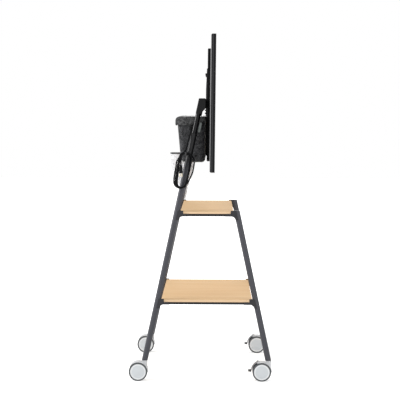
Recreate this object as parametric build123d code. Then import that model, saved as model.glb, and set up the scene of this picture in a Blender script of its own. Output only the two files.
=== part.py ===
from build123d import *
import math
import os

os.makedirs("parts", exist_ok=True)

# A display cart on four swivel casters, in millimetres.
# X points to the cart's front, Y to its left, Z up; the origin is on the floor under the middle of its outline.

# Fits and clearances
running_fit = 0.05
seat_gap = 0.1
soft_gap = 0.4
overrun = 40.0

# Casters
wheel_radius = 50.0
wheel_width = 21.0
tyre_depth = 7.0
tyre_round = 3.0
cover_dome = 1.6
cover_groove = 0.8
cover_groove_radius = 36.0
cover_skin = 4.0
hub_radius = 10.0
rim_wall = 3.5
web_half = 7.0
wheel_side_gap = 1.0
axle_radius = 4.0
axle_boss_radius = 13.0
hood_clearance = 1.4
hood_wall = 2.6
hood_side_cover = 0.6
hood_rear_angle = 135.0
trail = 35.0
stem_radius = 5.5
stem_depth = 30.0
stem_grip = 26.0
neck_radius = 15.0
neck_drop = 42.0
neck_rise = 3.0
flange_radius = 12.0
flange_thickness = 2.4
swivel_gap = 0.3

# Brake levers of the front casters
braked_hood_angle = 106.0
lever_pin_reach = 57.0
lever_pivot_angle = 114.0
lever_end_angle = 170.0
lever_tyre_gap = 5.6
lever_wall = 2.6
lever_half_width = 21.5
knuckle_radius = 3.2
trunnion_radius = 2.2
lug_thickness = 4.0
lug_radius = 4.4
lug_foot_radius = 1.25
lug_foot_angle = 98.0
lug_side_gap = 0.4
pedal_reach = 17.0
pedal_root = 10.0
pedal_tip = 5.0
pedal_height = 6.0

# Legs
tube_radius = 16.0
tube_wall = 2.0
foot_half_span = 332.0
leg_plane = 425.0
leg_lean = 12.15
foot_plug_height = 30.0
post_foot_z = 1265.0
rear_leg_top = 1325.0

# Shelves, their frames and the corner brackets
upper_shelf_top = 912.0
lower_shelf_top = 438.0
board_thickness = 12.0
board_half_width = 437.0
board_gap = 1.5
board_corner = 3.0
board_edge_round = 1.2
rail_height = 14.0
rail_width = 18.0
rail_round = 4.0
cross_rail_round = 3.0
cross_rail_setback = 14.0
bracket_inner_depth = 14.0
lip_rise = 5.0
lip_length = 16.0
lip_round = 2.5
arm_length = 45.0
gusset_drop = 20.0
gusset_reach = 20.0
cap_wall = 3.0
bracket_edge_round = 1.2
shelf_screw_radius = 2.0
shelf_screw_head_radius = 4.5
shelf_screw_head = 2.5
shelf_screw_bite = 8.0
shelf_screw_spread = 290.0

# Heads of the rear legs, and the crossbar
head_top = 1514.0
head_height = 50.0
head_gusset = 73.0
head_wall = 1.5
head_edge = 1.0
head_foot = 8.0
head_round = 5.0
crossbar_reach = 26.10907
crossbar_depth = 25.0
crossbar_height = 48.0
crossbar_wall = 2.5
crossbar_round = 4.0
mount_pivot_z = 1489.0

# Display
display_lean = 0.5
display_height = 727.0
display_width = 1080.0
display_depth = 27.0
display_middle_z = 1487.5
display_corner = 12.0
display_rear_chamfer = 6.0
shell_wall = 3.0
glass_thickness = 3.0
glass_rim = 1.6
glass_sink = 0.4
glass_ledge = 5.0
panel_gap = 1.0

# Rear housing and the rails that hang it on the crossbar
housing_height = 608.0
housing_width = 640.0
housing_depth = 17.0
housing_middle_z = 1479.0
housing_corner = 18.0
housing_chamfer = 3.0
vent_count = 18
vent_width = 4.0
vent_height = 30.0
vent_depth = 2.5
vent_pitch = 9.0
vent_drop = 46.0
rail_spacing = 400.0
mount_rail_width = 70.0
mount_rail_wall = 2.5
mount_rail_depth = 8.0
mount_rail_tip_depth = 4.0
mount_rail_top = 1677.0
mount_rail_bottom = 1203.0
mount_rail_taper = 110.0
mount_rail_foot = 15.0
mount_bolt_radius = 4.0
mount_bolt_head_radius = 7.0
mount_bolt_head = 4.5
mount_bolt_spread = 22.0
knob_radius = 6.5
knob_length = 7.5
knob_z = 1645.0
knob_shank_radius = 3.0
peg_radius = 3.5
peg_length = 10.5
peg_first_z = 1450.0
peg_second_z = 1433.0

# Felt bag between the rear legs
bag_leg_gap = 60.0
bag_rail_gap = 3.2
bag_top_depth = 150.8
bag_bottom_depth = 128.8
bag_top_z = 1408.0
bag_bottom_z = 1174.0
bag_wall = 8.0
bag_corner = 24.0
bag_floor = 10.0
bag_floor_round = 19.0
lid_rail_gap = 2.5
lid_overhang = 8.0
lid_wall = 4.0
lid_top_thickness = 8.6
lid_side_gap = 5.0
lid_skirt = 36.0
lid_front_skirt = 10.0
lid_rear_round = 22.0
lid_edge_round = 1.5
lid_knuckle_radius = 3.0
lid_pin_radius = 1.5
hinge_gap = 0.4
hinge_knuckle = 46.0
hinge_count = 7
hinge_leaf = 1.6
hinge_leaf_height = 22.0
tray_thickness = 2.0
tray_inset = 9.0
tray_front_rise = 24.0
tray_front_round = 20.0
tray_tab_width = 26.0
tray_tab_height = 26.0
clip_width = 12.0
clip_length = 54.0
clip_thickness = 3.0
clip_z = 1332.0
clip_bag_gap = 20.0
clip_leg_gap = 1.2
clip_stud_radius = 2.5
clip_stud_spread = 18.0
power_unit_depth = 88.0
power_unit_width = 460.0
power_unit_height = 84.0
power_unit_round = 8.0

# Mains lead
lead_radius = 3.75
lead_exit = 20.0
lead_bend = 23.0
lead_bend_turns = (30.0, 60.0)
lead_leg_gap = 3.0
lead_shift_shares = (0.5, 1.0)
lead_drop_shares = (0.3, 0.7)
lead_join = 26.0
lead_plane = 448.5
grommet_setback = 24.25678
grommet_z = 1356.0
grommet_radius = 10.0
grommet_flange = 3.0
grommet_tip_radius = 6.0
grommet_length = 20.0
hank_lean = 10.0
hank_half_corner = 22.5
hank_first_plane = 455.0
hank_pitch = 9.0
hank_entry = ((-22.0, 1.0), (-49.0, -24.0))
hank_front_radii = (44.0, 26.0, 27.0, 28.5)
hank_front_shifts = (-2.0, -3.0, -6.0, 3.0)
hank_rear_radii = (44.0, 26.0, 27.0, 26.0)
hank_rear_shifts = (-2.0, -5.0, -8.5, -6.5)
hank_lower_radii = (35.0, 25.5, 28.0, 26.5)
hank_lower_shifts = (-30.5, -21.7, -30.0, -25.0)
hank_drops = (142.0, 149.0, 148.0, 145.0)
hank_rear_bows = (1.5, 1.2, 1.5, 1.0)
hank_front_bows = (11.0, 3.0, 5.0, 2.0)
hank_side_shares = (0.33, 0.67)
tail_radius = 28.5
tail_shift = 2.0
tail_drop = 44.0
hook_setback = 17.70028
hook_z = 1215.0
hook_radius = 5.0
hook_gap = 1.3
hook_reach = 68.0
hook_tip_rise = 16.0
hook_plate_height = 40.0
hook_plate_width = 18.0
hook_plate_thickness = 3.0
plug_length = 34.0
plug_width = 19.0
plug_depth = 15.0
plug_round = 5.0
plug_neck_radius = 5.5
plug_neck_length = 12.0
pin_radius = 2.4
pin_length = 18.0
pin_spacing = 11.0

# Tapered cup at the other rear leg
cup_setback = 47.80968
cup_top_z = 1196.0
cup_height = 280.0
cup_half_width = 75.0
cup_half_depth = 42.0
cup_leg_gap = 5.0
cup_wall = 2.5
cup_floor = 6.0
cup_height_shares = (0.0, 0.20, 0.31, 0.42, 0.73, 1.0)
cup_width_shares = (1.0, 0.96, 0.88, 0.76, 0.40, 0.18)
cup_depth_shares = (1.0, 0.96, 0.89, 0.79, 0.50, 0.30)
rim_height = 8.0
rim_thickness = 3.0
clamp_wall = 3.0
clamp_wrap = 6.0
clamp_arm_width = 14.0

# Sizes that follow
hood_inner = wheel_radius + hood_clearance
hood_outer = hood_inner + hood_wall
wheel_inner_face = web_half + wheel_side_gap
wheel_outer_face = wheel_inner_face + wheel_width
hood_half_width = wheel_outer_face + hood_side_cover
tyre_inner = wheel_radius - tyre_depth
hood_top = wheel_radius + hood_outer + neck_rise
leg_foot_z = hood_top + swivel_gap + flange_thickness + swivel_gap
lean_slope = math.tan(math.radians(leg_lean))
bag_half_width = leg_plane - bag_leg_gap
tube_half_span = tube_radius / math.cos(math.radians(leg_lean))
rear_reach = foot_half_span + trail + wheel_radius
front_reach = foot_half_span - trail + hood_outer
middle_x = (rear_reach - front_reach) / 2
lever_inner = wheel_radius + lever_tyre_gap
lever_outer = lever_inner + lever_wall
front_leg_top = upper_shelf_top + lip_rise - cap_wall
post_radius = tube_radius - tube_wall - seat_gap
post_half_span = post_radius / math.cos(math.radians(leg_lean))
head_half = post_radius + head_wall
crossbar_middle_z = head_top - head_height / 2


def leg_offset(z):
    """Distance of a leg's centre line from the cart's middle at height z."""
    return foot_half_span - (z - leg_foot_z) * lean_slope


def inner_edge(z):
    """Distance of a leg's inner edge from the cart's middle at height z."""
    return leg_offset(z) - tube_half_span


def rear_leg_x(z):
    """Where a rear leg's centre line is at height z."""
    return middle_x - leg_offset(z)


# Places that follow the rear legs
rail_face_x = rear_leg_x(mount_pivot_z) + crossbar_reach
grommet_x = rear_leg_x(grommet_z) - grommet_setback
hook_x = rear_leg_x(hook_z) - hook_setback
cup_middle_x = rear_leg_x(cup_top_z) - cup_setback
housing_rear_x = rail_face_x + mount_rail_depth
display_rear_x = housing_rear_x + housing_depth
bag_front_x = rail_face_x - bag_rail_gap
bag_rear_x = bag_front_x - bag_top_depth
lid_front_x = rail_face_x - lid_rail_gap
lid_rear_x = bag_rear_x - lid_overhang
lid_top_z = bag_top_z + soft_gap + lid_top_thickness
lid_skirt_z = bag_top_z - lid_skirt
lid_half_width = bag_half_width + lid_side_gap + lid_wall
hinge_x = lid_rear_x + lid_knuckle_radius
hinge_z = lid_skirt_z - lid_knuckle_radius / 2
sides = ((-1, "right"), (1, "left"))
ends = ((-1, "rear"), (1, "front"))


def polar(radius, angle):
    return (radius * math.cos(math.radians(angle)), radius * math.sin(math.radians(angle)))


def upright(x, y, z):
    """A sketch plane seen from the right side: its x runs forward and its y runs up."""
    return Plane(origin=(x, y, z), x_dir=(1, 0, 0), z_dir=(0, -1, 0))


def slab(shape, low, high):
    """The part of a shape between two heights."""
    box = shape.bounding_box()
    middle = box.center()
    size = box.size
    cutter = Pos(middle.X, middle.Y, (low + high) / 2) * Box(size.X + overrun, size.Y + overrun, high - low)
    return shape & cutter


def leg_rod(end, side, radius, low, high):
    """A round bar on a leg's centre line, cut level at both ends."""
    lean = math.radians(leg_lean)
    direction = Vector(-end * math.sin(lean), 0, math.cos(lean))
    start_z = low - overrun
    foot = (middle_x + end * leg_offset(start_z), side * leg_plane, start_z)
    length = (high - low + 2 * overrun) / math.cos(lean)
    plane = Plane(origin=foot, x_dir=(0, 1, 0), z_dir=direction)
    rod = plane * Cylinder(radius, length, align=(Align.CENTER, Align.CENTER, Align.MIN))
    return slab(rod, low, high)


def leaned(shape):
    """The display and what hangs it lean forward about the crossbar."""
    there = Pos(rail_face_x, 0, mount_pivot_z)
    back = Pos(-rail_face_x, 0, -mount_pivot_z)
    return there * Rot(0, display_lean, 0) * back * shape


def ring_sector(inner, outer, start_angle, turn):
    outside = CenterArc((0, 0), outer, start_angle, turn)
    inside = CenterArc((0, 0), inner, start_angle, turn)
    first = Line(outside @ 0, inside @ 0)
    last = Line(outside @ 1, inside @ 1)
    return make_face(Curve() + [outside, last, inside, first])


def pie(radius, start_angle, turn):
    arc = CenterArc((0, 0), radius, start_angle, turn)
    return make_face(Curve() + [arc, Line((0, 0), arc @ 0), Line((0, 0), arc @ 1)])


def both_ways(face, half):
    return extrude(face, amount=half, both=True)


def save(shape, name):
    shape.label = name
    export_step(shape, "parts/" + name + ".step")


def group(pieces):
    return Compound(children=[solid for piece in pieces for solid in piece.solids()])


# Casters

def caster_centre(end, side):
    return (middle_x + end * foot_half_span - trail, side * leg_plane, wheel_radius)


def caster_stem(end, side):
    x, y, _ = caster_centre(end, side)
    base = hood_top - stem_depth
    height = stem_depth + leg_foot_z - hood_top + stem_grip
    stem = Pos(x + trail, y, base) * Cylinder(stem_radius, height, align=(Align.CENTER, Align.CENTER, Align.MIN))
    flange = Pos(x + trail, y, hood_top + swivel_gap + flange_thickness / 2)
    return stem + flange * Cylinder(flange_radius, flange_thickness)


def hood_lugs():
    """Two ears that carry the brake lever, between two round ends."""
    pivot = polar(lever_pin_reach, lever_pivot_angle)
    foot = polar((hood_inner + hood_outer) / 2, lug_foot_angle)
    rounds = (Pos(*pivot) * Circle(lug_radius)).edges() + (Pos(*foot) * Circle(lug_foot_radius)).edges()
    outline = make_hull(rounds) - Pos(*pivot) * Circle(trunnion_radius + running_fit)
    inner = lever_half_width + lug_side_gap
    lug = extrude(outline, amount=lug_thickness)
    return [Pos(0, 0, inner) * lug, Pos(0, 0, -inner - lug_thickness) * lug]


def caster_hood(end, side):
    last_angle = braked_hood_angle if end > 0 else hood_rear_angle
    cover = both_ways(ring_sector(hood_inner, hood_outer, 0, last_angle), hood_half_width)
    web_outline = pie((hood_inner + hood_outer) / 2, 0, last_angle) + Circle(axle_boss_radius)
    web = both_ways(web_outline, web_half)
    neck_top = hood_outer + neck_rise
    neck = Pos(trail, neck_top, 0) * Rot(-90, 0, 0) * Cylinder(
        neck_radius, neck_drop, align=(Align.CENTER, Align.CENTER, Align.MAX)
    )
    room_length = hood_half_width + overrun - web_half
    for way in (-1, 1):
        room = Pos(0, 0, way * (web_half + room_length / 2)) * Cylinder(hood_inner, room_length)
        neck = neck - room
    body = cover + web + neck
    if end > 0:
        for lug in hood_lugs():
            body = body + lug
    bore = Pos(trail, neck_top, 0) * Rot(-90, 0, 0) * Cylinder(
        stem_radius + running_fit, stem_depth + swivel_gap, align=(Align.CENTER, Align.CENTER, Align.MAX)
    )
    axle_hole = Cylinder(axle_radius + running_fit, hood_half_width)
    return upright(*caster_centre(end, side)) * (body - bore - axle_hole)


def caster_axle(end, side):
    half = wheel_outer_face - cover_skin - wheel_side_gap
    return upright(*caster_centre(end, side)) * Cylinder(axle_radius, 2 * half)


def wheel_core_outline():
    back = wheel_inner_face
    front = wheel_outer_face
    skin = front - cover_skin
    bore = axle_radius + running_fit
    groove_low = cover_groove_radius - cover_groove
    groove_high = cover_groove_radius + cover_groove
    dome = ThreePointArc((0, front + cover_dome), (groove_low / 2, front + cover_dome * 3 / 4), (groove_low, front))
    rest = Polyline(
        (groove_low, front),
        (cover_groove_radius, front - cover_groove),
        (groove_high, front),
        (tyre_inner - cover_groove, front),
        (tyre_inner, front - cover_groove),
        (tyre_inner, back),
        (tyre_inner - rim_wall, back),
        (tyre_inner - rim_wall, skin),
        (hub_radius, skin),
        (hub_radius, back),
        (bore, back),
        (bore, skin),
        (0, skin),
        (0, front + cover_dome),
    )
    return make_face(Curve() + [dome, rest])


def tyre_outline():
    middle = (wheel_inner_face + wheel_outer_face) / 2
    ring = Pos(wheel_radius - tyre_depth / 2, middle) * Rectangle(tyre_depth, wheel_width)
    return fillet(ring.vertices().group_by(Axis.X)[-1], tyre_round)


def caster_wheel(end, side, way):
    """One wheel of a pair: way is -1 for the one nearer the right side of the cart."""
    core = revolve(wheel_core_outline(), axis=Axis.Y)
    tyre = revolve(tyre_outline(), axis=Axis.Y)
    place = Pos(*caster_centre(end, side))
    if way < 0:
        place = place * Rot(180, 0, 0)
    return group([place * core, place * tyre])


def brake_lever(side):
    pivot = polar(lever_pin_reach, lever_pivot_angle)
    shell_turn = lever_end_angle - lever_pivot_angle
    shell = both_ways(ring_sector(lever_inner, lever_outer, lever_pivot_angle, shell_turn), lever_half_width)
    knuckle = Pos(*pivot) * Cylinder(knuckle_radius, 2 * lever_half_width)
    pin = Pos(*pivot) * Cylinder(trunnion_radius, 2 * (lever_half_width + lug_thickness))
    root_x = -lever_inner - lever_wall / 4
    tip_x = root_x - pedal_reach
    outline = Polygon(
        (root_x, pedal_height + pedal_root / 2),
        (tip_x, pedal_height + pedal_tip / 2),
        (tip_x, pedal_height - pedal_tip / 2),
        (root_x, pedal_height - pedal_root / 2),
        align=None,
    )
    outline = fillet(outline.vertices().group_by(Axis.X)[0], pedal_tip / 3)
    pedal = both_ways(outline, lever_half_width - lever_wall)
    return upright(*caster_centre(1, side)) * (shell + knuckle + pin + pedal)


# Legs and shelves

def leg(end, side):
    top = rear_leg_top if end < 0 else front_leg_top
    tube = leg_rod(end, side, tube_radius, leg_foot_z, top)
    return tube - leg_rod(end, side, tube_radius - tube_wall, leg_foot_z - overrun, top + overrun)


def foot_plug(end, side):
    plug = leg_rod(end, side, tube_radius - tube_wall - seat_gap, leg_foot_z, leg_foot_z + foot_plug_height)
    hole = Cylinder(stem_radius + seat_gap, 2 * overrun)
    return plug - Pos(middle_x + end * foot_half_span, side * leg_plane, leg_foot_z) * hole


def board_half_length(top):
    return inner_edge(top) - board_gap


def cross_rail_offset(top):
    return inner_edge(top) - arm_length - cross_rail_setback


def screw_places(top):
    x = cross_rail_offset(top)
    return [(way * x, share * shelf_screw_spread) for way in (-1, 1) for share in (-1, 0, 1)]


def shelf_board(top):
    half = board_half_length(top)
    board = Box(2 * half, 2 * board_half_width, board_thickness)
    board = fillet(board.edges().filter_by(Axis.Z), board_corner)
    board = fillet(board.faces().sort_by(Axis.Z)[-1].edges(), board_edge_round)
    board = Pos(middle_x, 0, top - board_thickness / 2) * board
    for x, y in screw_places(top):
        hole = Cylinder(shelf_screw_radius + seat_gap, shelf_screw_bite + seat_gap, align=(Align.CENTER,) * 2 + (Align.MIN,))
        board = board - Pos(middle_x + x, y, top - board_thickness) * hole
    return board


def shelf_frame(top):
    """Two side rails between the brackets, and two cross rails welded between them."""
    z = top - board_thickness - rail_height / 2
    half = inner_edge(top) - arm_length - seat_gap
    along = Plane.YZ * RectangleRounded(rail_width, rail_height, rail_round)
    across = Plane.XZ * RectangleRounded(rail_width, rail_height - 2 * seat_gap, cross_rail_round)
    first, second = [Pos(middle_x, side * leg_plane, z) * both_ways(along, half) for side, _ in sides]
    frame = first
    for way, _ in ends:
        frame = frame + Pos(middle_x + way * cross_rail_offset(top), 0, z) * both_ways(across, leg_plane)
    frame = frame + second
    for x, y in screw_places(top):
        frame = frame - Pos(middle_x + x, y, z) * Cylinder(shelf_screw_radius + seat_gap, overrun)
    return frame


def shelf_screw(top, x, y):
    under = top - board_thickness - rail_height
    length = rail_height + shelf_screw_bite
    shank = Cylinder(shelf_screw_radius, length, align=(Align.CENTER, Align.CENTER, Align.MIN))
    head = Cylinder(shelf_screw_head_radius, shelf_screw_head, align=(Align.CENTER, Align.CENTER, Align.MAX))
    head = fillet(head.edges().sort_by(Axis.Z)[0], shelf_screw_head / 3)
    return Pos(middle_x + x, y, under) * (shank + head)


def corner_bracket(top, end, side):
    """A cast corner: lip round the board, arm under it, and a curved gusset down the leg."""
    lip_z = top + lip_rise
    arm_z = top - board_thickness
    rail_z = arm_z - rail_height
    gusset_z = rail_z - gusset_drop
    tip = inner_edge(top) - lip_length
    arm = inner_edge(top) - arm_length
    foot = (inner_edge(gusset_z), gusset_z)
    turn_x = inner_edge(rail_z) - gusset_reach
    curve = TangentArc((turn_x, rail_z), foot, tangent=(1, 0))
    rest = Polyline(
        foot,
        (foot[0] + tube_radius, gusset_z),
        (inner_edge(lip_z) + tube_radius, lip_z),
        (tip, lip_z),
        (tip, arm_z),
        (arm, arm_z),
        (arm, rail_z),
        (turn_x, rail_z),
    )
    outline = make_face(Curve() + [curve, rest])
    corner = outline.vertices().sort_by_distance((tip, lip_z, 0))[0]
    outline = fillet([corner], lip_round)
    outer = leg_plane + tube_radius
    depth = tube_radius + bracket_inner_depth
    body = upright(0, outer, 0) * extrude(outline, amount=depth)
    rim = body.faces().sort_by(Axis.Y)[-1].edges()
    body = chamfer(rim, bracket_edge_round)
    pocket_end = board_half_length(top) + seat_gap
    pocket_side = board_half_width + seat_gap
    pocket = Box(overrun + arm_length, 2 * overrun, overrun, align=(Align.MAX, Align.MAX, Align.MIN))
    body = body - Pos(pocket_end, pocket_side, arm_z) * pocket
    body = Pos(middle_x, 0, 0) * body
    if end < 0:
        body = mirror(body, about=Plane(origin=(middle_x, 0, 0), z_dir=(1, 0, 0)))
    if side < 0:
        body = mirror(body, about=Plane.XZ)
    capped = end > 0 and top == upper_shelf_top
    leg_end = front_leg_top + seat_gap if capped else lip_z + overrun
    body = body - leg_rod(end, side, tube_radius + seat_gap, gusset_z - overrun, leg_end)
    if capped:
        body = body + leg_rod(end, side, tube_radius, leg_end, lip_z)
    return body.solids().sort_by(SortBy.VOLUME)[-1]


# Heads and crossbar

def leg_head(side):
    """A cast head in one piece with the post that slides in the leg's upper end."""
    low = head_top - head_gusset
    front = rail_face_x
    rear_top = rear_leg_x(head_top) - post_half_span - head_edge
    rear_low = rear_leg_x(low) - post_half_span - head_edge
    front_low = rear_leg_x(low) + post_half_span
    foot_z = low - head_foot
    outline = make_face(
        Polyline(
            (rear_leg_x(foot_z) - post_half_span + head_edge, foot_z),
            (rear_leg_x(foot_z) + post_half_span - head_edge, foot_z),
            (front_low, low),
            (front, head_top - head_height),
            (front, head_top),
            (rear_top, head_top),
            (rear_low, low),
            (rear_leg_x(foot_z) - post_half_span + head_edge, foot_z),
        )
    )
    outline = fillet(outline.vertices().group_by(Axis.Y)[-1], head_round)
    inner_corner = outline.vertices().sort_by_distance((front_low, low, 0))[0]
    outline = fillet([inner_corner], head_round)
    head = upright(0, side * leg_plane, 0) * both_ways(outline, head_half)
    outer_face = head.faces().sort_by(Axis.Y)[-1 if side > 0 else 0]
    head = chamfer(outer_face.edges(), head_edge)
    post = leg_rod(-1, side, post_radius, post_foot_z, low)
    head = head + post
    return head - leg_rod(-1, side, post_radius - tube_wall, post_foot_z - overrun, foot_z)


def crossbar():
    half = leg_plane - head_half - seat_gap
    section = RectangleRounded(crossbar_depth, crossbar_height, crossbar_round)
    inner = RectangleRounded(
        crossbar_depth - 2 * crossbar_wall, crossbar_height - 2 * crossbar_wall, crossbar_round - crossbar_wall
    )
    bar = both_ways(upright(0, 0, 0) * (section - inner), half)
    bar = Pos(rail_face_x - crossbar_depth / 2, 0, crossbar_middle_z) * bar
    for y, z in crossbar_bolt_places():
        bar = bar - Pos(rail_face_x, y, z) * Rot(0, 90, 0) * Cylinder(mount_bolt_radius + seat_gap, 2 * overrun)
    return bar


def crossbar_bolt_places():
    return [
        (side * rail_spacing / 2 + way * mount_bolt_spread / 2, crossbar_middle_z) for side, _ in sides for way in (-1, 1)
    ]


def mount_rail_outline(back_shift):
    front = housing_rear_x - seat_gap
    back = rail_face_x + seat_gap
    tip = front - mount_rail_tip_depth
    return make_face(
        Polyline(
            (front - back_shift, mount_rail_bottom),
            (front - back_shift, mount_rail_top),
            (tip - back_shift, mount_rail_top),
            (back - back_shift, mount_rail_top - mount_rail_taper),
            (back - back_shift, mount_rail_bottom + mount_rail_foot),
            (tip - back_shift, mount_rail_bottom),
            (front - back_shift, mount_rail_bottom),
        )
    )


def mount_rail(side):
    """A pressed channel, open to the back, tapered at its upper end."""
    outer = both_ways(upright(0, 0, 0) * mount_rail_outline(0), mount_rail_width / 2)
    hollow = upright(0, 0, 0) * mount_rail_outline(mount_rail_wall)
    rail = outer - both_ways(hollow, mount_rail_width / 2 - mount_rail_wall)
    y = side * rail_spacing / 2
    rail = Pos(0, y, 0) * rail
    across = Rot(0, 90, 0) * Cylinder(mount_bolt_radius + seat_gap, 2 * overrun)
    for bolt_y, bolt_z in crossbar_bolt_places():
        if abs(bolt_y - y) < mount_rail_width / 2:
            rail = rail - Pos(housing_rear_x, bolt_y, bolt_z) * across
    thin = Rot(0, 90, 0) * Cylinder(knob_shank_radius + seat_gap, 2 * overrun)
    for z in (knob_z, peg_first_z, peg_second_z):
        rail = rail - Pos(housing_rear_x, y, z) * thin
    return leaned(rail)


def mount_bolts():
    """Bolts through the crossbar into the rails, with their heads at the back."""
    pieces = []
    for y, z in crossbar_bolt_places():
        start = rail_face_x - crossbar_depth
        length = crossbar_depth + mount_rail_depth - seat_gap
        shank = Cylinder(mount_bolt_radius, length, align=(Align.CENTER, Align.CENTER, Align.MIN))
        head = extrude(RegularPolygon(mount_bolt_head_radius, 6), amount=-mount_bolt_head)
        pieces.append(leaned(Pos(start, y, z) * Rot(0, 90, 0) * (shank + head)))
    return pieces


def rail_knobs():
    """A knob at the top of each rail and two pins below the crossbar."""
    pieces = []
    web_back = housing_rear_x - seat_gap - mount_rail_wall
    taper = (mount_rail_depth - mount_rail_tip_depth) / mount_rail_taper
    back = housing_rear_x - mount_rail_tip_depth - (mount_rail_top - knob_z) * taper
    knob_x = back - knob_length / 2
    for side, _ in sides:
        y = side * rail_spacing / 2
        knob = Cylinder(knob_radius, knob_length)
        knob = fillet(knob.edges().filter_by(GeomType.CIRCLE), knob_length / 5)
        reach = web_back - knob_x + mount_rail_wall
        shank = Cylinder(knob_shank_radius, reach, align=(Align.CENTER, Align.CENTER, Align.MIN))
        place = Pos(knob_x, y, knob_z) * Rot(0, 90, 0)
        pieces.append(place * (knob + shank))
        for z in (peg_first_z, peg_second_z):
            peg = Pos(web_back - peg_length / 2, y, z) * Rot(0, 90, 0) * Cylinder(peg_radius, peg_length)
            pin = Pos(web_back, y, z) * Rot(0, 90, 0) * Cylinder(knob_shank_radius, 2 * mount_rail_wall)
            pieces.append(peg + pin)
    return [leaned(piece) for piece in pieces]


# Display

def facing(x, z):
    """A sketch plane that faces the front: its x runs to the left and its y runs up."""
    return Plane(origin=(x, 0, z), x_dir=(0, 1, 0), z_dir=(1, 0, 0))


def display_sheet(inset, start, thickness):
    """A rounded sheet as large as the display less an inset, from a depth behind its front towards the front."""
    corner = display_corner - inset if display_corner > 2 * inset else display_corner / 2
    sketch = RectangleRounded(display_width - 2 * inset, display_height - 2 * inset, corner)
    return facing(display_rear_x + display_depth - start, display_middle_z) * extrude(sketch, amount=thickness)


def display_housing():
    body = display_sheet(0, display_depth, display_depth)
    rear = body.faces().sort_by(Axis.X)[0]
    body = chamfer(rear.edges(), display_rear_chamfer)
    glass_room = display_sheet(glass_rim, glass_sink + glass_thickness + seat_gap, overrun)
    panel_room = display_sheet(glass_ledge + glass_rim, display_depth - shell_wall, overrun)
    return leaned(body - glass_room - panel_room)


def display_glass():
    return leaned(display_sheet(glass_rim + seat_gap, glass_sink + glass_thickness, glass_thickness))


def display_panel():
    deep = display_depth - shell_wall - panel_gap
    thickness = deep - glass_sink - glass_thickness - panel_gap
    inset = glass_ledge + glass_rim + panel_gap + display_rear_chamfer
    return leaned(display_sheet(inset, deep + panel_gap - seat_gap, thickness))


def rear_housing():
    sketch = RectangleRounded(housing_width, housing_height, housing_corner)
    body = facing(housing_rear_x, housing_middle_z) * extrude(sketch, amount=housing_depth - seat_gap)
    body = chamfer(body.faces().sort_by(Axis.X)[0].edges(), housing_chamfer)
    row_z = housing_middle_z + housing_height / 2 - vent_drop
    slot = Box(2 * vent_depth, vent_width, vent_height)
    for middle in (-1, 0, 1):
        for place in range(vent_count):
            y = middle * rail_spacing / 2 + (place - (vent_count - 1) / 2) * vent_pitch
            on_rail = abs(abs(y) - rail_spacing / 2) < (mount_rail_width + vent_pitch) / 2
            if not on_rail or row_z - vent_height > mount_rail_top:
                body = body - Pos(housing_rear_x, y, row_z) * slot
    for side, _ in sides:
        for z in (knob_z, peg_first_z, peg_second_z):
            hole = Pos(housing_rear_x, side * rail_spacing / 2, z) * Rot(0, 90, 0)
            body = body - hole * Cylinder(knob_shank_radius + seat_gap, 2 * mount_rail_wall)
    return leaned(body)


# Bag, tray and what they hold

def bag_box(rear_top, rear_low, front, top, low, half_width, corner):
    lower = Pos((rear_low + front) / 2, 0, low) * RectangleRounded(front - rear_low, 2 * half_width, corner)
    upper = Pos((rear_top + front) / 2, 0, top) * RectangleRounded(front - rear_top, 2 * half_width, corner)
    return loft([lower, upper])


def bag_body():
    rear_low = bag_front_x - bag_bottom_depth
    outer = bag_box(bag_rear_x, rear_low, bag_front_x, bag_top_z, bag_bottom_z, bag_half_width, bag_corner)
    outer = fillet(outer.faces().sort_by(Axis.Z)[0].edges(), bag_floor_round)
    inner = bag_box(
        bag_rear_x + bag_wall,
        rear_low + bag_wall,
        bag_front_x - bag_wall,
        bag_top_z + seat_gap,
        bag_bottom_z + bag_floor,
        bag_half_width - bag_wall,
        bag_corner - bag_wall,
    )
    hole = Pos(grommet_x, -bag_half_width, grommet_z) * Rot(90, 0, 0)
    return outer - inner - hole * Cylinder(grommet_tip_radius + soft_gap, 2 * overrun)


def hinge_stations(count):
    """Middles of the hinge's knuckles along its length."""
    return [(place - (count - 1) / 2) * 2 * hinge_knuckle for place in range(count)]


def hinge_round(radius, y, length):
    return Pos(hinge_x, y, hinge_z) * Rot(90, 0, 0) * Cylinder(radius, length)


def bag_lid():
    """A lid that covers the back and sides, open at its front edge, with hinge knuckles along its rear lower edge."""
    outline = make_face(
        Polyline(
            (lid_rear_x, lid_skirt_z),
            (lid_rear_x, lid_top_z),
            (lid_front_x, lid_top_z),
            (lid_front_x, bag_top_z - lid_front_skirt),
            (lid_front_x - lid_skirt, lid_skirt_z),
            (lid_rear_x, lid_skirt_z),
        )
    )
    rear_corner = outline.vertices().sort_by_distance((lid_rear_x, lid_top_z, 0))[0]
    outline = fillet([rear_corner], lid_rear_round)
    lid = both_ways(upright(0, 0, 0) * outline, lid_half_width)
    ends_of_lid = lid.faces().sort_by(Axis.Y)
    lid = fillet(ends_of_lid[0].edges() + ends_of_lid[-1].edges(), lid_edge_round)
    room_length = lid_front_x - lid_rear_x - lid_wall + overrun
    room = Pos(lid_rear_x + lid_wall, 0, bag_top_z + soft_gap) * Box(
        room_length, 2 * (lid_half_width - lid_wall), overrun + lid_skirt, align=(Align.MIN, Align.CENTER, Align.MAX)
    )
    lid = lid - room
    for place, y in enumerate(hinge_stations(hinge_count)):
        if place % 2:
            lid = lid + hinge_round(lid_knuckle_radius, y, hinge_knuckle - hinge_gap)
            lid = lid - hinge_round(lid_pin_radius + running_fit, y, hinge_knuckle + hinge_gap)
        else:
            lid = lid - hinge_round(lid_knuckle_radius + hinge_gap, y, hinge_knuckle + hinge_gap)
    return lid


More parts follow.
